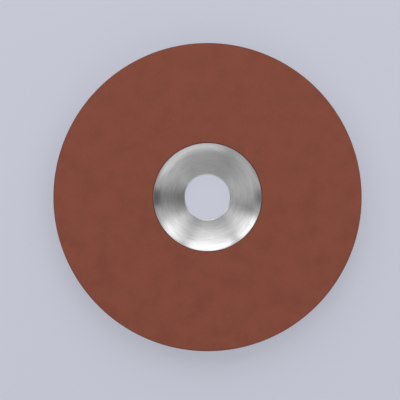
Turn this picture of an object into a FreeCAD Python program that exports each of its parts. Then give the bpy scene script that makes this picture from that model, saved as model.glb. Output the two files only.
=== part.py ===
import FreeCAD, Part
import math
import os

# Diamond grinding disc of 150 mm with a dished metal hub, for a spindle of 22.23 mm.
#
# It is two pieces, bonded face to face:
#   carrier        one turned aluminium body. A thin flange backs the abrasive. The hub
#                  is set back behind the flange, and its front is turned to a bowl
#                  that keeps the clamp nut below the grinding face.
#   abrasive_ring  the moulded diamond layer that covers the whole flat face, from a
#                  narrow seam round the hub's lip out to the rim.
#
# Frame: Z is the spindle axis and +Z is the grinding side. Z = 0 is the hub's back face,
# which seats on the grinder's flange and is also what the disc lies on. Millimetres.
#
# Each piece is a turned shape, so each is an outline in the XZ plane, with X as the
# radius, that is revolved round Z. Edge breaks are then cut on the solid's round edges.

# Driving sizes of the whole disc
disc_diameter = 150.0
bore_diameter = 22.23

# The abrasive layer
abrasive_thickness = 3.0
abrasive_outer_edge_round = 0.5
abrasive_inner_edge_round = 0.25

# The carrier's flange
flange_thickness = 3.0
flange_set_in = 0.2
flange_edge_chamfer = 0.6

# The boss behind the hub, which sets the hub's back face behind the flange
boss_diameter = 48.0
boss_height = 3.4
boss_root_fillet = 1.5
boss_edge_chamfer = 0.5

# The hub's front: its floor at the bore, the bowl, and the lip that stands in the abrasive
hub_floor_thickness = 3.2
bore_chamfer = 0.4
lip_diameter = 52.7
lip_below_face = 0.3
lip_land = 0.2
lip_edge_chamfer = 0.1
seam_gap = 0.15

# The bowl is a shallow arc up to its shoulder and a steeper one from there to the lip
lip_band_width = 4.3
bowl_angle_at_lip = 45.0
bowl_angle_at_shoulder = 22.0

# A round edge is found by its radius and height to within this distance
edge_search_tolerance = 1e-6

FULL_TURN = 360.0
ORIGIN = FreeCAD.Vector(0, 0, 0)
SPINDLE_AXIS = FreeCAD.Vector(0, 0, 1)

# Radii that follow from the driving sizes
rim_radius = disc_diameter / 2
flange_radius = rim_radius - flange_set_in
boss_radius = boss_diameter / 2
bore_radius = bore_diameter / 2
bore_mouth_radius = bore_radius + bore_chamfer
lip_radius = lip_diameter / 2
land_inner_radius = lip_radius - lip_land
shoulder_radius = land_inner_radius - lip_band_width
abrasive_inner_radius = lip_radius + seam_gap

# Heights, built up from the hub's back face
flange_front_height = boss_height + flange_thickness
face_height = flange_front_height + abrasive_thickness
lip_height = face_height - lip_below_face

# An arc's chord slopes at the mean of its two end slopes, which puts the shoulder where
# the steep arc from the lip has come down to the shoulder's own slope.
lip_band_slope = math.radians((bowl_angle_at_lip + bowl_angle_at_shoulder) / 2)
shoulder_height = lip_height - lip_band_width * math.tan(lip_band_slope)


def at(radius, height):
    """A point of an outline, by its distance from the spindle axis and its height."""
    return FreeCAD.Vector(radius, 0, height)


def straight(start, end):
    """A straight edge of an outline."""
    return Part.LineSegment(start, end).toShape()


def polyline(points):
    """The straight edges that join a list of points."""
    return [straight(start, end) for start, end in zip(points, points[1:])]


def bowl_arc(inner, outer, outer_angle):
    """The arc from inner to outer that has a given slope where it reaches outer.

    Its slope at inner follows: it lies as far from the chord's slope on the other side.
    Two arcs that share a point and a slope there meet without a crease.
    """
    chord_slope = math.atan2(outer.z - inner.z, outer.x - inner.x)
    half_turn = math.radians(outer_angle) - chord_slope
    sagitta = (outer - inner).Length / 2 * math.tan(half_turn / 2)
    chord_middle = (inner + outer) / 2
    arc_middle = at(
        chord_middle.x + sagitta * math.sin(chord_slope),
        chord_middle.z - sagitta * math.cos(chord_slope),
    )
    return Part.Arc(inner, arc_middle, outer).toShape()


def turned(edges):
    """The solid that a closed outline sweeps in one turn about the spindle axis."""
    outline = Part.Face(Part.Wire(edges))
    return outline.revolve(ORIGIN, SPINDLE_AXIS, FULL_TURN)


def round_edges(solid, radius, height):
    """The circular edges of a turned solid that have this radius at this height."""
    found = []
    for edge in solid.Edges:
        if not isinstance(edge.Curve, Part.Circle):
            continue
        radius_off = abs(edge.Curve.Radius - radius)
        height_off = abs(edge.Curve.Center.z - height)
        if max(radius_off, height_off) < edge_search_tolerance:
            found.append(edge)
    return found


def make_carrier():
    """The turned body: hub with its bowl, bore and boss, and the flange."""
    bore_mouth = at(bore_mouth_radius, hub_floor_thickness)
    shoulder = at(shoulder_radius, shoulder_height)
    land_inner_edge = at(land_inner_radius, lip_height)
    bowl = [
        bowl_arc(bore_mouth, shoulder, bowl_angle_at_shoulder),
        bowl_arc(shoulder, land_inner_edge, bowl_angle_at_lip),
    ]
    land_round_to_bore = polyline(
        [
            land_inner_edge,
            at(lip_radius, lip_height),
            at(lip_radius, flange_front_height),
            at(flange_radius, flange_front_height),
            at(flange_radius, boss_height),
            at(boss_radius, boss_height),
            at(boss_radius, 0),
            at(bore_radius, 0),
            at(bore_radius, hub_floor_thickness - bore_chamfer),
            bore_mouth,
        ]
    )
    body = turned(bowl + land_round_to_bore)
    body = body.makeFillet(
        boss_root_fillet, round_edges(body, boss_radius, boss_height)
    )
    body = body.makeChamfer(boss_edge_chamfer, round_edges(body, boss_radius, 0))
    body = body.makeChamfer(bore_chamfer, round_edges(body, bore_radius, 0))
    body = body.makeChamfer(
        flange_edge_chamfer, round_edges(body, flange_radius, boss_height)
    )
    return body.makeChamfer(
        lip_edge_chamfer, round_edges(body, lip_radius, lip_height)
    )


def make_abrasive_ring():
    """The moulded layer: a flat ring with its two working edges slightly rounded."""
    corners = [
        at(abrasive_inner_radius, flange_front_height),
        at(rim_radius, flange_front_height),
        at(rim_radius, face_height),
        at(abrasive_inner_radius, face_height),
    ]
    ring = turned(polyline(corners + corners[:1]))
    ring = ring.makeFillet(
        abrasive_outer_edge_round, round_edges(ring, rim_radius, face_height)
    )
    return ring.makeFillet(
        abrasive_inner_edge_round,
        round_edges(ring, abrasive_inner_radius, face_height),
    )


pieces = {
    "carrier": make_carrier(),
    "abrasive_ring": make_abrasive_ring(),
}

os.makedirs("parts", exist_ok=True)
for name, shape in pieces.items():
    shape.exportStep(f"parts/{name}.step")
    state = "valid" if shape.isValid() else "not valid"
    print(f"{name}: {len(shape.Solids)} solid, {state}, {shape.Volume / 1000:.2f} cm3")

print(f"heights: bowl floor {hub_floor_thickness:.2f}, shoulder {shoulder_height:.2f} mm")
print(f"heights: lip {lip_height:.2f}, grinding face {face_height:.2f} mm")
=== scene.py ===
# %% [markdown]
# # A diamond grinding disc
#
# The disc is two turned pieces, bonded face to face: an aluminium carrier with a dished
# hub, and a moulded diamond layer that covers its whole front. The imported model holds
# their true sizes and stays as it is. This file gives each piece a smooth mesh and the
# finish that a close photograph shows, then adds the floor, the camera and the lights.
# Before each step, a cell like this one says what is made, how it could be made, and why
# it is made this way.

import collections
import math

import bpy
import numpy as np
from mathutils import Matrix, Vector


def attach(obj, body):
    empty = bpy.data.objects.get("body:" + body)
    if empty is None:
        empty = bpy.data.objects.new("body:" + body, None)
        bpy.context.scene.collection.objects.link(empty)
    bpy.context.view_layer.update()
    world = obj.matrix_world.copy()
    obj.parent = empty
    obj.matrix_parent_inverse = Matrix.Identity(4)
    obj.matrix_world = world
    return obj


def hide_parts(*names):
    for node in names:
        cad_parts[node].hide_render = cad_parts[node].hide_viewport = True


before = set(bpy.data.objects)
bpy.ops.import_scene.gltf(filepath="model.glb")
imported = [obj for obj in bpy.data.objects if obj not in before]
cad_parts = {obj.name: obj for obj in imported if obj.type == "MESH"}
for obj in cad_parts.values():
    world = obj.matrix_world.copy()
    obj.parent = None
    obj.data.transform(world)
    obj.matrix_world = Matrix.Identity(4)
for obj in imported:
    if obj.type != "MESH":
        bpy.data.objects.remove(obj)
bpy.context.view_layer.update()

MM = 0.001
print("packed pieces:", ", ".join(sorted(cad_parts)))

# %% [markdown]
# ## Sizes
#
# The sizes could be typed again here, but then two files would have to agree. The packed
# pieces are turned shapes, so every corner of their meshes is fully told by two numbers:
# how far it lies from the spindle axis, and how high. The largest and smallest of those
# give the main radii and heights. Only the small edge breaks and the slopes of the bowl
# are named values, because a mesh doesn't say them.

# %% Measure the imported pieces
NEAR_THE_RIM = 0.9


def corners_of(node):
    """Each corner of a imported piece, as distance from the axis and height, in mm."""
    points = np.array([corner.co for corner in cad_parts[node].data.vertices]) / MM
    return np.column_stack([np.hypot(points[:, 0], points[:, 1]), points[:, 2]])


layer_corners = corners_of("abrasive_ring")
layer_inner_radius, seat_height = layer_corners.min(axis=0)
rim_radius, face_height = layer_corners.max(axis=0)

carrier_corners = corners_of("carrier")
flange_radius, lip_height = carrier_corners.max(axis=0)
bore_radius = carrier_corners[:, 0].min()
in_front_of_seat = carrier_corners[:, 1] > (seat_height + lip_height) / 2
lip_radius = carrier_corners[in_front_of_seat, 0].max()
under_the_rim = carrier_corners[:, 0] > NEAR_THE_RIM * flange_radius
flange_back = carrier_corners[under_the_rim, 1].min()
behind_the_flange = carrier_corners[:, 1] < flange_back / 2
boss_radius = carrier_corners[behind_the_flange, 0].max()

print(f"radii, mm: rim {rim_radius:.2f}, flange {flange_radius:.2f}")
print(f"radii, mm: lip {lip_radius:.2f}, boss {boss_radius:.2f}, bore {bore_radius:.3f}")
print(f"heights, mm: face {face_height:.2f}, lip {lip_height:.2f}")
print(f"heights, mm: seat {seat_height:.2f}, flange back {flange_back:.2f}")

# %% Edge breaks and the bowl's slopes
bore_chamfer = 0.4
lip_land = 0.2
lip_chamfer = 0.1
flange_chamfer = 0.6
boss_fillet = 1.5
boss_chamfer = 0.5
layer_outer_round = 0.5
layer_inner_round = 0.25

lip_band_width = 4.3
lip_angle = 45.0
shoulder_angle = 22.0

bore_mouth_radius = bore_radius + bore_chamfer
at_the_bore = carrier_corners[:, 0] < bore_mouth_radius + bore_chamfer / 2
floor_height = carrier_corners[at_the_bore, 1].max()
land_inner_radius = lip_radius - lip_land
shoulder_radius = land_inner_radius - lip_band_width
lip_band_slope = math.radians((lip_angle + shoulder_angle) / 2)
shoulder_height = lip_height - lip_band_width * math.tan(lip_band_slope)
print(f"bowl: floor {floor_height:.2f} mm high, shoulder {shoulder_height:.2f} mm")
print(f"bowl: shoulder {shoulder_radius:.2f} mm from the axis")

# %% [markdown]
# ## An outline in runs
#
# A lathe cuts one outline, so the mesh starts as one outline too: a chain of runs, each a
# straight stretch or an arc. A run is an array of points, as radius and height in
# millimetres. It also says where it lies on the image map that an export bakes the
# finish through: on a strip that is unrolled round the turn, between two heights, or,
# with no heights, seen flat from above. Strips suit fine rings, because each ring becomes
# a straight line. The flat kind suits a grain that runs the same in every direction.

# %% Straight and curved runs
Run = collections.namedtuple("Run", "points low high")
FLAT = (None, None)


def straight(start, end, spacing=None):
    """Points from start to end, with more between them every spacing millimetres."""
    steps = 1 if spacing is None else max(1, round(math.dist(start, end) / spacing))
    return np.linspace(start, end, steps + 1)


def hollow(inner, outer, outer_angle, spacing):
    """Points of the bowl's arc from inner to outer, which has outer_angle where it ends."""
    chord = math.atan2(outer[1] - inner[1], outer[0] - inner[0])
    steep = math.radians(outer_angle)
    gentle = 2 * chord - steep
    radius = (outer[0] - inner[0]) / (math.sin(steep) - math.sin(gentle))
    centre = (inner[0] - radius * math.sin(gentle), inner[1] + radius * math.cos(gentle))
    slopes = np.linspace(gentle, steep, max(1, round(math.dist(inner, outer) / spacing)) + 1)
    return np.column_stack(
        [centre[0] + radius * np.sin(slopes), centre[1] - radius * np.cos(slopes)]
    )


def quarter(centre, radius, start_angle, end_angle, steps=8):
    """Points of an edge round or a fillet, by its centre; angles in degrees from outward."""
    turn = np.radians(np.linspace(start_angle, end_angle, steps + 1))
    return np.column_stack(
        [centre[0] + radius * np.cos(turn), centre[1] + radius * np.sin(turn)]
    )


# %% [markdown]
# ## Turning marks
#
# A turned face isn't smooth. The tool leaves a fine spiral, so close that it looks like
# rings, and each ring catches the light a little differently. Rings could be drawn with a
# bump map alone, but then the mesh itself would stay glassy in any program that drops the
# map. So the coarser rings are real: each point of the run is sunk into the face by some
# thousandths of a millimetre, and on the plain back by up to two hundredths. The seed is
# fixed, so every run of the file cuts the same rings.

# %% Cut the marks into a run
SMOOTHING = (0.25, 0.5, 0.25)


def with_marks(points, depth, seed):
    """The run with each inner point sunk into the metal by a random share of depth."""
    chance = np.random.default_rng(seed).normal(size=len(points))
    sunk = np.abs(np.convolve(chance, SMOOTHING, mode="same"))
    sunk[0] = sunk[-1] = 0
    along = np.gradient(points, axis=0)
    out_of_metal = np.column_stack([-along[:, 1], along[:, 0]])
    out_of_metal /= np.linalg.norm(out_of_metal, axis=1)[:, None]
    return points - depth * sunk[:, None] * out_of_metal


# %% [markdown]
# ## Turning an outline into a piece
#
# Blender can spin an outline with the Screw modifier or with bmesh's spin. Both turn the
# points step by step, so rounding adds up and disturbs marks this fine. Here every corner
# is worked out straight from its angle: the outline is copied once for each of the sides,
# and neighbouring copies are joined by faces. The first and last copies are neighbours
# too, so the piece closes without a seam.

# %% The lathe
SIDES = 256
SHARP_ABOVE = math.radians(24)
print(f"lathe: {SIDES} sides of {360 / SIDES:.2f} degrees")


def turned_piece(name, runs):
    """One closed mesh object, turned from runs that join end to end into a closed outline."""
    outline = np.concatenate([run.points[:-1] for run in runs])
    rows = len(outline)
    turns = np.linspace(0, 2 * math.pi, SIDES + 1)[:-1, None]
    corners = np.stack(
        [
            np.cos(turns) * outline[:, 0],
            np.sin(turns) * outline[:, 0],
            np.ones_like(turns) * outline[:, 1],
        ],
        axis=-1,
    )
    side, row = np.arange(SIDES)[:, None], np.arange(rows)[None, :]
    here, there = side * rows, (side + 1) % SIDES * rows
    below, above = row, (row + 1) % rows
    faces = np.stack([here + below, here + above, there + above, there + below], axis=-1)

    mesh = bpy.data.meshes.new(name)
    mesh.from_pydata(corners.reshape(-1, 3) * MM, [], faces.reshape(-1, 4).tolist())
    mesh.shade_smooth()
    mesh.set_sharp_from_angle(angle=SHARP_ABOVE)
    places = map_places(runs)
    mesh.uv_layers.new(name="OFBake").uv.foreach_set("vector", places.ravel())

    piece = bpy.data.objects.new(name, mesh)
    bpy.context.scene.collection.objects.link(piece)
    return piece


FLAT_MAP_CENTRE = (0.5, 0.54)
FLAT_MAP_REACH = 0.455


def map_places(runs):
    """The place on the image map of each corner of each face, in the faces' own order."""
    edges = np.linspace(0, 1, SIDES + 1)
    places = []
    for run in runs:
        lengths = np.linalg.norm(np.diff(run.points, axis=0), axis=1)
        share = np.concatenate([[0], np.cumsum(lengths) / lengths.sum()])
        if run.low is None:
            reach = run.points[:, 0] / rim_radius * FLAT_MAP_REACH
            across = FLAT_MAP_CENTRE[0] + np.outer(np.cos(2 * math.pi * edges), reach)
            up = FLAT_MAP_CENTRE[1] + np.outer(np.sin(2 * math.pi * edges), reach)
        else:
            across = np.outer(edges, np.ones_like(share))
            up = np.outer(np.ones_like(edges), run.low + (run.high - run.low) * share)
        grid = np.stack([across, up], axis=-1)
        face = [grid[:-1, :-1], grid[:-1, 1:], grid[1:, 1:], grid[1:, :-1]]
        places.append(np.stack(face, axis=2))
    return np.concatenate(places, axis=1)


def report(piece, node):
    """Print how large a piece is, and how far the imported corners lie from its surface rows."""
    rows = len(piece.data.vertices) // SIDES
    outline = np.array([corner.co for corner in piece.data.vertices[:rows]]) / MM
    start, end = outline[:, [0, 2]], np.roll(outline[:, [0, 2]], -1, axis=0)
    corners = np.unique(corners_of(node).round(4), axis=0)
    step = end - start
    share = ((corners[:, None] - start) * step).sum(-1) / (step**2).sum(-1)
    nearest = start + share.clip(0, 1)[..., None] * step
    gap = np.linalg.norm(corners[:, None] - nearest, axis=-1).min(axis=1).max()
    triangles = sum(len(face.vertices) - 2 for face in piece.data.polygons)
    print(f"{piece.name}: {triangles} triangles")
    print(f"the packed corners of {node} lie within {gap:.4f} mm of it")


# %% [markdown]
# ## The carrier
#
# The carrier was turned from one blank. Its outline starts at the bore's mouth, climbs the
# bowl, crosses the lip, goes down behind the diamond layer to the flange, round the
# flange's edge, back along the plain rear face to the boss, and up through the bore. The
# bowl gets rows 0.12 mm apart, because a bright bowl shows every flat facet. The hidden
# seat under the layer needs one row. The two last numbers of a run say which strip of the
# image map is its own, and the bowl gets the widest.

# %% Turn the carrier
BOWL_ROW = 0.12
BACK_ROW = 0.6
BOSS_ROW = 0.35
BOWL_MARKS = 0.004
BACK_MARKS = 0.012
BOSS_MARKS = 0.006

bore_mouth = (bore_mouth_radius, floor_height)
shoulder = (shoulder_radius, shoulder_height)
land_inner = (land_inner_radius, lip_height)
bowl = np.concatenate(
    [
        hollow(bore_mouth, shoulder, shoulder_angle, BOWL_ROW)[:-1],
        hollow(shoulder, land_inner, lip_angle, BOWL_ROW),
    ]
)
lip = np.array(
    [
        land_inner,
        (lip_radius - lip_chamfer, lip_height),
        (lip_radius, lip_height - lip_chamfer),
        (lip_radius, seat_height),
    ]
)
flange_edge = np.array(
    [
        (flange_radius, seat_height),
        (flange_radius, flange_back + flange_chamfer),
        (flange_radius - flange_chamfer, flange_back),
    ]
)
back = straight(flange_edge[-1], (boss_radius + boss_fillet, flange_back), BACK_ROW)
fillet_centre = (boss_radius + boss_fillet, flange_back - boss_fillet)
boss_side = np.concatenate(
    [
        quarter(fillet_centre, boss_fillet, 90, 180),
        [(boss_radius, boss_chamfer), (boss_radius - boss_chamfer, 0)],
    ]
)
boss_face = straight(boss_side[-1], (bore_radius + bore_chamfer, 0), BOSS_ROW)
bore = np.array(
    [
        boss_face[-1],
        (bore_radius, bore_chamfer),
        (bore_radius, floor_height - bore_chamfer),
        bore_mouth,
    ]
)

carrier = turned_piece(
    "turned_carrier",
    [
        Run(with_marks(bowl, BOWL_MARKS, seed=3), 0.0, 0.42),
        Run(lip, 0.42, 0.47),
        Run(straight(lip[-1], flange_edge[0]), 0.47, 0.48),
        Run(flange_edge, 0.48, 0.54),
        Run(with_marks(back, BACK_MARKS, seed=5), 0.54, 0.86),
        Run(boss_side, 0.86, 0.90),
        Run(with_marks(boss_face, BOSS_MARKS, seed=7), 0.90, 0.97),
        Run(bore, 0.97, 1.0),
    ],
)
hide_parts("carrier")
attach(carrier, "root")
report(carrier, "carrier")

# %% [markdown]
# ## The diamond layer
#
# The layer is pressed in a mould and cured on the flange, so it is a flat ring with crisp
# but slightly rounded working edges. A cylinder with a hole would have edges like a
# knife's. The two arcs are what catches the light along the rim and along the seam round
# the hub.

# %% Turn the diamond layer
LAYER_ROW = 1.2

outer_round_centre = (rim_radius - layer_outer_round, face_height - layer_outer_round)
inner_round_centre = (layer_inner_radius + layer_inner_round, face_height - layer_inner_round)
outer_side = np.concatenate(
    [
        quarter(outer_round_centre, layer_outer_round, 90, 0),
        [(rim_radius, seat_height)],
    ]
)
inner_side = np.concatenate(
    [
        [(layer_inner_radius, seat_height)],
        quarter(inner_round_centre, layer_inner_round, 180, 90),
    ]
)

layer = turned_piece(
    "diamond_layer",
    [
        Run(straight(inner_side[-1], outer_side[0], LAYER_ROW), *FLAT),
        Run(outer_side, 0.002, 0.045),
        Run(straight(outer_side[-1], inner_side[0]), 0.048, 0.055),
        Run(inner_side, 0.058, 0.080),
    ],
)
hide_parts("abrasive_ring")
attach(layer, "root")
report(layer, "abrasive_ring")

# %% [markdown]
# ## Building blocks for the finishes
#
# A finish is a tree of shader nodes. Effects that could serve more than one material are
# node groups: each is built once, has named inputs and outputs, and is placed in a
# material with values of its own. A group here only works out numbers. The shader itself
# stays in the material, where an export can read it.
#
# Uneven finishes come from noise textures. Most of a noise texture's values lie between
# 0.35 and 0.65, and nearly all between 0.3 and 0.7, so a finish spreads its tones over
# one of those two ranges.

# %% Helpers for node trees
MOST_NOISE = (0.35, 0.65)
ALL_NOISE = (0.3, 0.7)
NOISE_DETAIL = 3.0


def feed(tree, socket, value):
    """Give a socket a number or colour, or link it to the output that makes one."""
    if isinstance(value, bpy.types.NodeSocket):
        tree.links.new(value, socket)
    else:
        socket.default_value = value


def maths(tree, operation, *values):
    """The result of one Math node."""
    step = tree.nodes.new("ShaderNodeMath")
    step.operation = operation
    for socket, value in zip(step.inputs, values):
        feed(tree, socket, value)
    return step.outputs["Value"]


def spread(tree, value, low, high, new_low, new_high, way="LINEAR"):
    """The value carried from one range to another, and held at its ends."""
    step = tree.nodes.new("ShaderNodeMapRange")
    step.interpolation_type = way
    for label, number in {
        "Value": value,
        "From Min": low,
        "From Max": high,
        "To Min": new_low,
        "To Max": new_high,
    }.items():
        feed(tree, step.inputs[label], number)
    return step.outputs["Result"]


def blend_colours(tree, share, first, second):
    """The colour that lies a share of the way from the first to the second."""
    step = tree.nodes.new("ShaderNodeMix")
    step.data_type = "RGBA"
    feed(tree, step.inputs["Factor"], share)
    feed(tree, step.inputs[6], first)
    feed(tree, step.inputs[7], second)
    return step.outputs[2]


# %% [markdown]
# Both finishes depend on where a point lies on the disc. Blender gives the place in
# metres. It is scaled to millimetres here, once, so that every size in a group can be
# read in the unit of the disc's own sizes.

# %% Where a point lies
def place_in_mm(tree):
    """X, Y, height and distance from the axis, then X, Y and Z as a vector, all in mm."""
    where = tree.nodes.new("ShaderNodeTexCoord")
    scale = tree.nodes.new("ShaderNodeVectorMath")
    scale.operation = "SCALE"
    scale.inputs["Scale"].default_value = 1 / MM
    tree.links.new(where.outputs["Object"], scale.inputs[0])
    split = tree.nodes.new("ShaderNodeSeparateXYZ")
    tree.links.new(scale.outputs["Vector"], split.inputs["Vector"])
    x, y, height = split.outputs
    squares = maths(tree, "ADD", maths(tree, "MULTIPLY", x, x), maths(tree, "MULTIPLY", y, y))
    return x, y, height, maths(tree, "SQRT", squares), scale.outputs["Vector"]


def vector_of(tree, x, y, z):
    """A vector made of three numbers."""
    join = tree.nodes.new("ShaderNodeCombineXYZ")
    for socket, value in zip(join.inputs, (x, y, z)):
        feed(tree, socket, value)
    return join.outputs["Vector"]


# %% Groups, materials and colours
def new_group(name, inputs, outputs):
    """An empty group, its input node's outputs and its output node's inputs."""
    group = bpy.data.node_groups.new(name, "ShaderNodeTree")
    for label, value in inputs.items():
        socket = group.interface.new_socket(
            label, in_out="INPUT", socket_type="NodeSocketFloat"
        )
        socket.default_value = value
    for label in outputs:
        group.interface.new_socket(label, in_out="OUTPUT", socket_type="NodeSocketFloat")
    start = group.nodes.new("NodeGroupInput")
    end = group.nodes.new("NodeGroupOutput")
    return group, start.outputs, end.inputs


def use_group(tree, group, **values):
    """Place a group in a material with its own values, and return its outputs."""
    placed = tree.nodes.new("ShaderNodeGroup")
    placed.node_tree = group
    for label, value in values.items():
        placed.inputs[label.replace("_", " ")].default_value = value
    return placed.outputs


def new_material(name):
    """An empty material: its node tree and its Principled BSDF, joined to the output."""
    material = bpy.data.materials.new(name)
    material.use_nodes = True
    tree = material.node_tree
    tree.nodes.clear()
    surface = tree.nodes.new("ShaderNodeBsdfPrincipled")
    output = tree.nodes.new("ShaderNodeOutputMaterial")
    tree.links.new(surface.outputs["BSDF"], output.inputs["Surface"])
    return material, tree, surface.inputs


def srgb(red, green, blue):
    """A colour as a picture's 0 to 255 values, in the linear values that shaders use."""
    values = [channel / 255 for channel in (red, green, blue)]
    linear = [v / 12.92 if v <= 0.04045 else ((v + 0.055) / 1.055) ** 2.4 for v in values]
    return (*linear, 1.0)


# %% [markdown]
# ## Close to a turned edge
#
# Every edge on this disc is a circle, and the finishes paint light and shade along some of
# them: painted shade darkens the abrasive along its rim and along the seam round the hub,
# and a painted highlight lightens the metal's lip and the bore's mouth. The usual ways to
# find edges, such as a bevel shader or pointiness, are slow or depend on the mesh. Here an
# edge is known exactly, by its radius and height, so the group measures the distance to
# that circle and fades from 1 to 0 over a width.

# %% Node group: near an edge
near_an_edge, taken, given = new_group(
    "near_an_edge",
    {"Edge Radius": 10.0, "Edge Height": 0.0, "Width": 1.0},
    ["Near"],
)
_, _, height, radius, _ = place_in_mm(near_an_edge)
off_radius = maths(near_an_edge, "SUBTRACT", radius, taken["Edge Radius"])
off_height = maths(near_an_edge, "SUBTRACT", height, taken["Edge Height"])
distance = maths(
    near_an_edge,
    "SQRT",
    maths(
        near_an_edge,
        "ADD",
        maths(near_an_edge, "MULTIPLY", off_radius, off_radius),
        maths(near_an_edge, "MULTIPLY", off_height, off_height),
    ),
)
near = spread(near_an_edge, distance, 0.0, taken["Width"], 1.0, 0.0, "SMOOTHSTEP")
near_an_edge.links.new(near, given["Near"])
print("near_an_edge:", len(near_an_edge.nodes), "nodes")

# %% [markdown]
# ## Turning lines
#
# Between the rings that are cut into the mesh lie far finer ones. A noise texture draws
# them when it is read in a bent space: its third direction runs along the outline, many
# steps to a millimetre, and its first two go round the turn with only a few steps in the
# whole circle. So the noise changes fast from ring to ring and hardly at all along a
# ring. The direction round the turn is X and Y divided by the radius, which has no seam
# where an angle would jump from 360 to 0.

# %% Node group: turning lines
turning_lines, taken, given = new_group(
    "turning_lines",
    {"Lines per mm": 6.0, "Wander": 1.5, "Band Width": 2.0},
    ["Line", "Band"],
)
x, y, height, radius, _ = place_in_mm(turning_lines)
round_x, round_y = (
    maths(
        turning_lines,
        "MULTIPLY",
        maths(turning_lines, "DIVIDE", side, radius),
        taken["Wander"],
    )
    for side in (x, y)
)
along = maths(turning_lines, "ADD", radius, height)
for label, steps_along in {
    "Line": maths(turning_lines, "MULTIPLY", along, taken["Lines per mm"]),
    "Band": maths(turning_lines, "DIVIDE", along, taken["Band Width"]),
}.items():
    noise = turning_lines.nodes.new("ShaderNodeTexNoise")
    noise.inputs["Scale"].default_value = 1.0
    noise.inputs["Detail"].default_value = NOISE_DETAIL
    turning_lines.links.new(
        vector_of(turning_lines, round_x, round_y, steps_along), noise.inputs["Vector"]
    )
    turning_lines.links.new(noise.outputs["Fac"], given[label])
print("turning_lines:", len(turning_lines.nodes), "nodes")

# %% [markdown]
# ## Grit in a bond
#
# The layer is diamond grains of a tenth or two of a millimetre in a red-brown resin. Grains
# could be scattered as real meshes, but there are hundreds of thousands of them and each
# is smaller than a pixel. Voronoi cells are the cheap match: each cell has a random number
# of its own, so a share of the cells is picked as grains, and the distance to a cell's
# middle makes a grain stand up. Clouds of a few millimetres come from uneven mixing.

# %% Node group: grit in a bond
CROWN_OF_GRAIN = (0.15, 0.6)
PIT_DEPTH = 0.35

grit_in_bond, taken, given = new_group(
    "grit_in_bond",
    {"Grain Size": 0.2, "Grain Share": 0.2, "Cloud Size": 8.0},
    ["Grain", "Speckle", "Cloud", "Height"],
)
_, _, _, _, place = place_in_mm(grit_in_bond)
cells = grit_in_bond.nodes.new("ShaderNodeTexVoronoi")
clouds = grit_in_bond.nodes.new("ShaderNodeTexNoise")
clouds.inputs["Detail"].default_value = NOISE_DETAIL
for texture, size in ((cells, taken["Grain Size"]), (clouds, taken["Cloud Size"])):
    grit_in_bond.links.new(place, texture.inputs["Vector"])
    feed(grit_in_bond, texture.inputs["Scale"], maths(grit_in_bond, "DIVIDE", 1.0, size))
picks = grit_in_bond.nodes.new("ShaderNodeSeparateColor")
grit_in_bond.links.new(cells.outputs["Color"], picks.inputs["Color"])
is_grain = maths(grit_in_bond, "LESS_THAN", picks.outputs["Red"], taken["Grain Share"])
from_middle = cells.outputs["Distance"]
crown = spread(grit_in_bond, from_middle, *CROWN_OF_GRAIN, 1.0, 0.0, "SMOOTHSTEP")
grain = maths(grit_in_bond, "MULTIPLY", is_grain, crown)
pits = maths(grit_in_bond, "MULTIPLY", picks.outputs["Green"], PIT_DEPTH)
grit_in_bond.links.new(grain, given["Grain"])
grit_in_bond.links.new(picks.outputs["Blue"], given["Speckle"])
grit_in_bond.links.new(clouds.outputs["Fac"], given["Cloud"])
grit_in_bond.links.new(maths(grit_in_bond, "ADD", grain, pits), given["Height"])
print("grit_in_bond:", len(grit_in_bond.nodes), "nodes")

# %% [markdown]
# ## Turned aluminium
#
# What makes turned metal look turned is the shape of its highlights. Millions of scratches
# run round the axis, so light spreads across them and hardly along them, and each lamp
# becomes a fan that points at the middle of the hub. A plain rough metal would smear the
# lamps evenly. The shader's Anisotropic value does this, once it knows which way the
# scratches run: the Tangent node, set to radial about Z, says round the spindle. The lines
# then vary the roughness and the tone from ring to ring. The colour is lighter along the
# lip and the bore's mouth: a painted highlight, where those edges catch the light.
#
# The glossiest ring stays at 0.28 for the renderer's sake: at 0.27 the hub gets dotted
# specks, but only with the denoiser on. It says nothing about the real metal.

# %% Material: turned aluminium
ALUMINIUM_DULL = srgb(176, 176, 176)
ALUMINIUM_CLEAN = srgb(197, 197, 197)
# A lighter grey for the lip and the bore's mouth: a painted highlight where those edges catch
# the light.
ALUMINIUM_PAINTED_HIGHLIGHT = srgb(216, 216, 216)
DULLEST_RING = 0.325
GLOSSIEST_RING = 0.28
SPREAD_ACROSS_SCRATCHES = 0.75
QUARTER_TURN = 0.25
HIGHLIGHT_WIDTH = 0.5
SCRATCH_DEPTH = 0.003 * MM

turned_aluminium, tree, surface = new_material("turned_aluminium")
lines = use_group(tree, turning_lines, Lines_per_mm=5.0, Wander=2.8, Band_Width=1.1)
lip_edge = use_group(
    tree,
    near_an_edge,
    Edge_Radius=lip_radius,
    Edge_Height=lip_height,
    Width=HIGHLIGHT_WIDTH,
)
bore_edge = use_group(
    tree,
    near_an_edge,
    Edge_Radius=bore_mouth_radius - bore_chamfer / 2,
    Edge_Height=floor_height - bore_chamfer / 2,
    Width=HIGHLIGHT_WIDTH,
)
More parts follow.
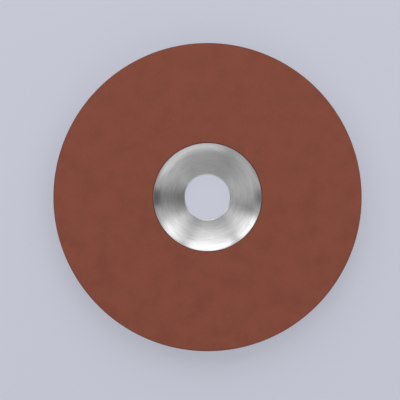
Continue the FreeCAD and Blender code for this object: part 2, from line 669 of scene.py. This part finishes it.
# Mask of the painted highlight along the lip and the bore's mouth.
painted_edge_highlight = maths(tree, "MAXIMUM", lip_edge["Near"], bore_edge["Near"])
tone = maths(tree, "MULTIPLY", maths(tree, "ADD", lines["Line"], lines["Band"]), 0.5)
turned_colour = blend_colours(
    tree, spread(tree, tone, *MOST_NOISE, 0.0, 1.0), ALUMINIUM_DULL, ALUMINIUM_CLEAN
)
feed(
    tree,
    surface["Base Color"],
    blend_colours(tree, painted_edge_highlight, turned_colour, ALUMINIUM_PAINTED_HIGHLIGHT),
)
surface["Metallic"].default_value = 1.0
roughness = spread(tree, lines["Band"], *ALL_NOISE, DULLEST_RING, GLOSSIEST_RING)
feed(tree, surface["Roughness"], roughness)
surface["Anisotropic"].default_value = SPREAD_ACROSS_SCRATCHES
surface["Anisotropic Rotation"].default_value = QUARTER_TURN
scratches_run = tree.nodes.new("ShaderNodeTangent")
scratches_run.direction_type = "RADIAL"
scratches_run.axis = "Z"
tree.links.new(scratches_run.outputs["Tangent"], surface["Tangent"])
scratches = tree.nodes.new("ShaderNodeBump")
scratches.inputs["Strength"].default_value = 1.0
scratches.inputs["Distance"].default_value = SCRATCH_DEPTH
tree.links.new(lines["Line"], scratches.inputs["Height"])
tree.links.new(scratches.outputs["Normal"], surface["Normal"])
carrier.data.materials.append(turned_aluminium)
print("turned_aluminium:", len(tree.nodes), "nodes, on", carrier.name)

# %% [markdown]
# ## Diamond in resin
#
# The face is matte and almost even from a step away, and only close up does it break into
# grains. So its colours lie near each other: a slightly lighter and a slightly darker
# bond, pale grains that show at a quarter of their strength, and a darker brown along the
# rim and the inner edge. That darker brown is painted shade, where the rounded rim and the
# seam round the hub fall into shade. The grains are a little glossier than the resin round
# them, which gives the face its faint sparkle when it is tilted.

# %% Material: diamond in resin
BOND_LIGHT = srgb(131, 70, 53)
BOND_DARK = srgb(120, 63, 47)
GRAIN_TONE = srgb(150, 104, 88)
# Darker brown along the rim and the inner edge: painted shade where the rounded edges and the
# seam fall into shade.
EDGE_PAINTED_SHADE = srgb(114, 62, 49)
OUTER_SHADE_WIDTH = 1.0
INNER_SHADE_WIDTH = 0.6
CLOUD_PART = 0.6
SPECKLE_PART = 0.4
GRAIN_SHOWS = 0.25
BOND_ROUGHNESS = 0.85
GRAIN_ROUGHNESS = 0.45
RESIN_SHINE = 0.3
GRAIN_STANDS = 0.02 * MM
GRAIN_RELIEF = 0.6

diamond_in_resin, tree, surface = new_material("diamond_in_resin")
grit = use_group(tree, grit_in_bond, Grain_Size=0.2, Grain_Share=0.22, Cloud_Size=9.0)
cloud = spread(tree, grit["Cloud"], *MOST_NOISE, 0.0, 1.0)
bond_shade = maths(
    tree,
    "ADD",
    maths(tree, "MULTIPLY", cloud, CLOUD_PART),
    maths(tree, "MULTIPLY", grit["Speckle"], SPECKLE_PART),
)
bond_colour = blend_colours(tree, bond_shade, BOND_DARK, BOND_LIGHT)
grain_share = maths(tree, "MULTIPLY", grit["Grain"], GRAIN_SHOWS)
gritty_colour = blend_colours(tree, grain_share, bond_colour, GRAIN_TONE)
outer_edge = use_group(
    tree,
    near_an_edge,
    Edge_Radius=rim_radius,
    Edge_Height=face_height,
    Width=OUTER_SHADE_WIDTH,
)
inner_edge = use_group(
    tree,
    near_an_edge,
    Edge_Radius=layer_inner_radius,
    Edge_Height=face_height,
    Width=INNER_SHADE_WIDTH,
)
# Mask of the painted shade along the rim and along the seam round the hub.
painted_edge_shade = maths(tree, "MAXIMUM", outer_edge["Near"], inner_edge["Near"])
feed(tree, surface["Base Color"], blend_colours(tree, painted_edge_shade, gritty_colour, EDGE_PAINTED_SHADE))
roughness = spread(tree, grit["Grain"], 0.0, 1.0, BOND_ROUGHNESS, GRAIN_ROUGHNESS)
feed(tree, surface["Roughness"], roughness)
surface["Specular IOR Level"].default_value = RESIN_SHINE
texture_of_face = tree.nodes.new("ShaderNodeBump")
texture_of_face.inputs["Strength"].default_value = GRAIN_RELIEF
texture_of_face.inputs["Distance"].default_value = GRAIN_STANDS
tree.links.new(grit["Height"], texture_of_face.inputs["Height"])
tree.links.new(texture_of_face.outputs["Normal"], surface["Normal"])
layer.data.materials.append(diamond_in_resin)
print("diamond_in_resin:", len(tree.nodes), "nodes, on", layer.name)

# %% [markdown]
# ## The floor
#
# The disc lies flat on its hub, so the floor is the whole background, and it shows through
# the bore too. It is plain and pale. Its paleness isn't made with stronger lamps, which
# would bleach the disc. Instead part of what the camera sees of it is light of its own,
# and the rest is a matte surface that keeps the disc's soft shadow.
#
# The shares differ from place to place. Round the disc they are equal. Through the bore
# hardly any lamp reaches the floor, so there it is nearly all its own light, and so it is
# where the metal's back mirrors it. Away from the disc there is no shadow to keep: there
# the floor is all its own light, and it fades into the grey of the room, which leaves no
# horizon in a low view. Seen from below it is clear, so that the disc's back can be
# looked at.

# %% The floor
FLOOR_SIZE = 8.0


def flat_sheet(name, across, along):
    """The mesh of a rectangle that reaches this far to each side of its middle."""
    signs = ((-1, -1), (1, -1), (1, 1), (-1, 1))
    corners = [(left * across, front * along, 0) for left, front in signs]
    mesh = bpy.data.meshes.new(name)
    mesh.from_pydata(corners, [], [(0, 1, 2, 3)])
    return mesh


floor_mesh = flat_sheet("studio_floor", FLOOR_SIZE / 2, FLOOR_SIZE / 2)
floor = bpy.data.objects.new("studio_floor", floor_mesh)
bpy.context.scene.collection.objects.link(floor)
print(f"studio_floor: {FLOOR_SIZE:.0f} m square")

# %% The floor's material
FLOOR_COLOUR = srgb(197, 199, 212)
ROOM = (0.81, 0.81, 0.81, 1.0)
GLOW_IN_BORE = 0.92
GLOW_BY_DISC = 0.5
GLOW_IN_METAL = 0.8
BORE_ENDS = (13.0, 30.0)
SHADOW_ENDS = (120.0, 400.0)
ROOM_BEGINS = (200.0, 1500.0)

studio_floor = bpy.data.materials.new("studio_floor")
studio_floor.use_nodes = True
tree = studio_floor.node_tree
tree.nodes.clear()
matte = tree.nodes.new("ShaderNodeBsdfDiffuse")
matte.inputs["Color"].default_value = FLOOR_COLOUR
_, _, _, from_disc, _ = place_in_mm(tree)
glow = tree.nodes.new("ShaderNodeEmission")
into_room = spread(tree, from_disc, *ROOM_BEGINS, 0.0, 1.0, "SMOOTHSTEP")
feed(tree, glow.inputs["Color"], blend_colours(tree, into_room, FLOOR_COLOUR, ROOM))
rays = tree.nodes.new("ShaderNodeLightPath")
seen = maths(tree, "ADD", rays.outputs["Is Camera Ray"], rays.outputs["Is Glossy Ray"])
seen = maths(tree, "ADD", seen, rays.outputs["Is Transmission Ray"])
seen = maths(tree, "MINIMUM", seen, 1.0)
share_inside = spread(tree, from_disc, *BORE_ENDS, GLOW_IN_BORE, GLOW_BY_DISC)
share_outside = spread(tree, from_disc, *SHADOW_ENDS, GLOW_BY_DISC, 1.0, "SMOOTHSTEP")
share = maths(tree, "MAXIMUM", share_inside, share_outside)
share_in_metal = maths(tree, "MULTIPLY", rays.outputs["Is Glossy Ray"], GLOW_IN_METAL)
share = maths(tree, "MAXIMUM", share, share_in_metal)
front = tree.nodes.new("ShaderNodeMixShader")
tree.links.new(maths(tree, "MULTIPLY", seen, share), front.inputs["Fac"])
tree.links.new(matte.outputs["BSDF"], front.inputs[1])
tree.links.new(glow.outputs["Emission"], front.inputs[2])
clear = tree.nodes.new("ShaderNodeBsdfTransparent")
which_side = tree.nodes.new("ShaderNodeNewGeometry")
sides = tree.nodes.new("ShaderNodeMixShader")
tree.links.new(which_side.outputs["Backfacing"], sides.inputs["Fac"])
tree.links.new(front.outputs["Shader"], sides.inputs[1])
tree.links.new(clear.outputs["BSDF"], sides.inputs[2])
output = tree.nodes.new("ShaderNodeOutputMaterial")
tree.links.new(sides.outputs["Shader"], output.inputs["Surface"])
floor_mesh.materials.append(studio_floor)
print("studio_floor:", len(tree.nodes), "nodes")

# %% [markdown]
# ## The camera
#
# The photograph looks at the disc squarely from the front. Here the disc lies flat, so the
# same view is straight down. In the photograph's 400 by 400 pixels the disc is 308.6
# across, with its middle a little right of and above the picture's middle. A long lens
# keeps the view free of perspective. The camera's height follows from the lens and the
# width to be seen, and it stands aside by the disc's own offset, so no lens shift is
# needed.

# %% Place the camera
PICTURE_WIDTH = 400
DISC_WIDTH_IN_PICTURE = 308.6
DISC_MIDDLE_IN_PICTURE = (207.5, 197.1)
LENS = 100.0
SENSOR = 36.0

pixel = 2 * rim_radius * MM / DISC_WIDTH_IN_PICTURE
right_of_middle = (DISC_MIDDLE_IN_PICTURE[0] - PICTURE_WIDTH / 2) * pixel
above_middle = (PICTURE_WIDTH / 2 - DISC_MIDDLE_IN_PICTURE[1]) * pixel
height_over_face = PICTURE_WIDTH * pixel * LENS / SENSOR

camera_data = bpy.data.cameras.new("front_camera")
camera_data.lens = LENS
camera_data.sensor_width = SENSOR
camera = bpy.data.objects.new("front_camera", camera_data)
camera.location = (-right_of_middle, -above_middle, face_height * MM + height_over_face)
bpy.context.scene.collection.objects.link(camera)
bpy.context.scene.camera = camera
print(f"a pixel is {pixel / MM:.4f} mm")
print(f"the camera is {height_over_face:.3f} m above the grinding face")

# %% [markdown]
# ## The lights
#
# A bowl of bright metal is a map of the room. Each part of it mirrors what stands on the
# other side of the spindle, and its steeper outer band mirrors what stands lower. So the
# hub in the photograph hints at where the lights were, as far as the bowl's slopes are
# right, and those are a guess. The broad white fan at its bottom is made by a large
# softbox beyond the top edge, and the two narrow fans beside it by tall softboxes to the
# upper left and right. Those two fans are brightest along their middle and run down to
# the bore, so each softbox has a narrow strip lamp before it that reaches nearly
# overhead. Another strip overhead lights the shallow part of the bowl above the broad
# fan, and a weak lamp in front makes the pale band along the top of the lip.
#
# Each lamp is given as it is seen from the disc: its direction, and how far it reaches to
# each side of that. Those angles can be compared with the fans in the picture, which
# positions in metres can't. The numbers weren't read off by eye. They were fitted to the
# hub's brightness in the photograph, and then tuned with many trial renders, together
# with the metal's greys, roughness and Anisotropic value. Other lamps round a bowl of
# another slope could give the same picture, so a good match doesn't prove these.

# %% Place the softboxes
LAMP_DISTANCE = 1.2


def face_the_disc(thing, azimuth, from_vertical, distance):
    """Put a lamp or card at a distance, in a direction, square to the disc's middle.

    azimuth runs clockwise from the picture's top and from_vertical down from straight
    above, both in degrees.
    """
    turn, fall = math.radians(azimuth), math.radians(from_vertical)
    away = Vector(
        (
            math.sin(turn) * math.sin(fall),
            math.cos(turn) * math.sin(fall),
            math.cos(fall),
        )
    )
    thing.location = away * distance
    thing.rotation_euler = (fall, 0, math.pi - turn)
    thing.visible_camera = False
    bpy.context.scene.collection.objects.link(thing)


def span(reach, distance):
    """The length that reaches this many degrees to each side, seen square on."""
    return 2 * distance * math.tan(math.radians(reach))


def softbox(name, azimuth, from_vertical, reach_across, reach_along, radiance):
    """A soft rectangular lamp. A radiance of 1 looks as bright as a white card does."""
    lamp = bpy.data.lights.new(name, "AREA")
    lamp.shape = "RECTANGLE"
    lamp.size = span(reach_across, LAMP_DISTANCE)
    lamp.size_y = span(reach_along, LAMP_DISTANCE)
    lamp.energy = radiance * math.pi * lamp.size * lamp.size_y
    face_the_disc(bpy.data.objects.new(name, lamp), azimuth, from_vertical, LAMP_DISTANCE)
    print(f"{name}: {lamp.size:.2f} by {lamp.size_y:.2f} m, {lamp.energy:.1f} W")


softbox("top_softbox", 357, 71, 25, 19, 1.75)
softbox("upper_right_softbox", 45.8, 63, 13, 27, 0.9)
softbox("upper_right_strip", 48.5, 51.5, 4.7, 37.5, 0.7)
softbox("upper_left_softbox", 308, 69, 14, 21, 1.85)
softbox("upper_left_strip", 307.5, 29, 4, 13, 0.36)
softbox("overhead_strip", 336, 37.5, 28, 8, 1.76)
softbox("front_fill", 157.5, 67.5, 39, 22.5, 0.475)

# %% [markdown]
# ## The cards
#
# Bright metal in an evenly bright room looks like plaster. It needs something dark to
# mirror, so dark cards stand where the hub's dark wedges point: one to the left and one
# to the right, which make the wedges across from them, and two higher up. A wide grey card
# in front darkens the top of the bowl a little. A painted card would look different with
# each lamp that is moved. Here a card is a flat panel that gives off a set, small amount
# of light, and none where it is black.

# %% Place the cards
CARD_DISTANCE = 1.4


def card(name, azimuth, from_vertical, reach_across, reach_along, radiance=0.0):
    """A flat panel that hides the room behind it, and is black unless it has a radiance."""
    across, along = span(reach_across, CARD_DISTANCE), span(reach_along, CARD_DISTANCE)
    mesh = flat_sheet(name, across / 2, along / 2)
    paint = bpy.data.materials.new(name)
    paint.use_nodes = True
    paint.node_tree.nodes.clear()
    shade = paint.node_tree.nodes.new("ShaderNodeEmission")
    shade.inputs["Strength"].default_value = radiance
    output = paint.node_tree.nodes.new("ShaderNodeOutputMaterial")
    paint.node_tree.links.new(shade.outputs["Emission"], output.inputs["Surface"])
    mesh.materials.append(paint)
    panel = bpy.data.objects.new(name, mesh)
    face_the_disc(panel, azimuth, from_vertical, CARD_DISTANCE)
    print(f"{name}: {across:.2f} by {along:.2f} m, radiance {radiance}")


card("right_card", 89, 68.5, 9.7, 24, 0.08)
card("upper_left_card", 308, 45.5, 19.3, 17.3)
card("overhead_card", 35.5, 13, 27.4, 10.2)
card("left_card", 270.6, 72, 7.6, 18, 0.15)
card("front_card", 183, 37.4, 27, 22, 0.43)

# %% [markdown]
# ## The room
#
# The rest of the room is an even pale grey. With the lamps it adds up to a plain level of
# light, at which a matte colour renders about as it is written.

# %% The world
world = bpy.data.worlds.new("room")
world.use_nodes = True
tree = world.node_tree
tree.nodes.clear()
room_light = tree.nodes.new("ShaderNodeBackground")
room_light.inputs["Color"].default_value = ROOM
output = tree.nodes.new("ShaderNodeOutputWorld")
tree.links.new(room_light.outputs["Background"], output.inputs["Surface"])
bpy.context.scene.world = world
bpy.context.scene.view_settings.view_transform = "Standard"
print("room: an even grey of", ROOM[0])
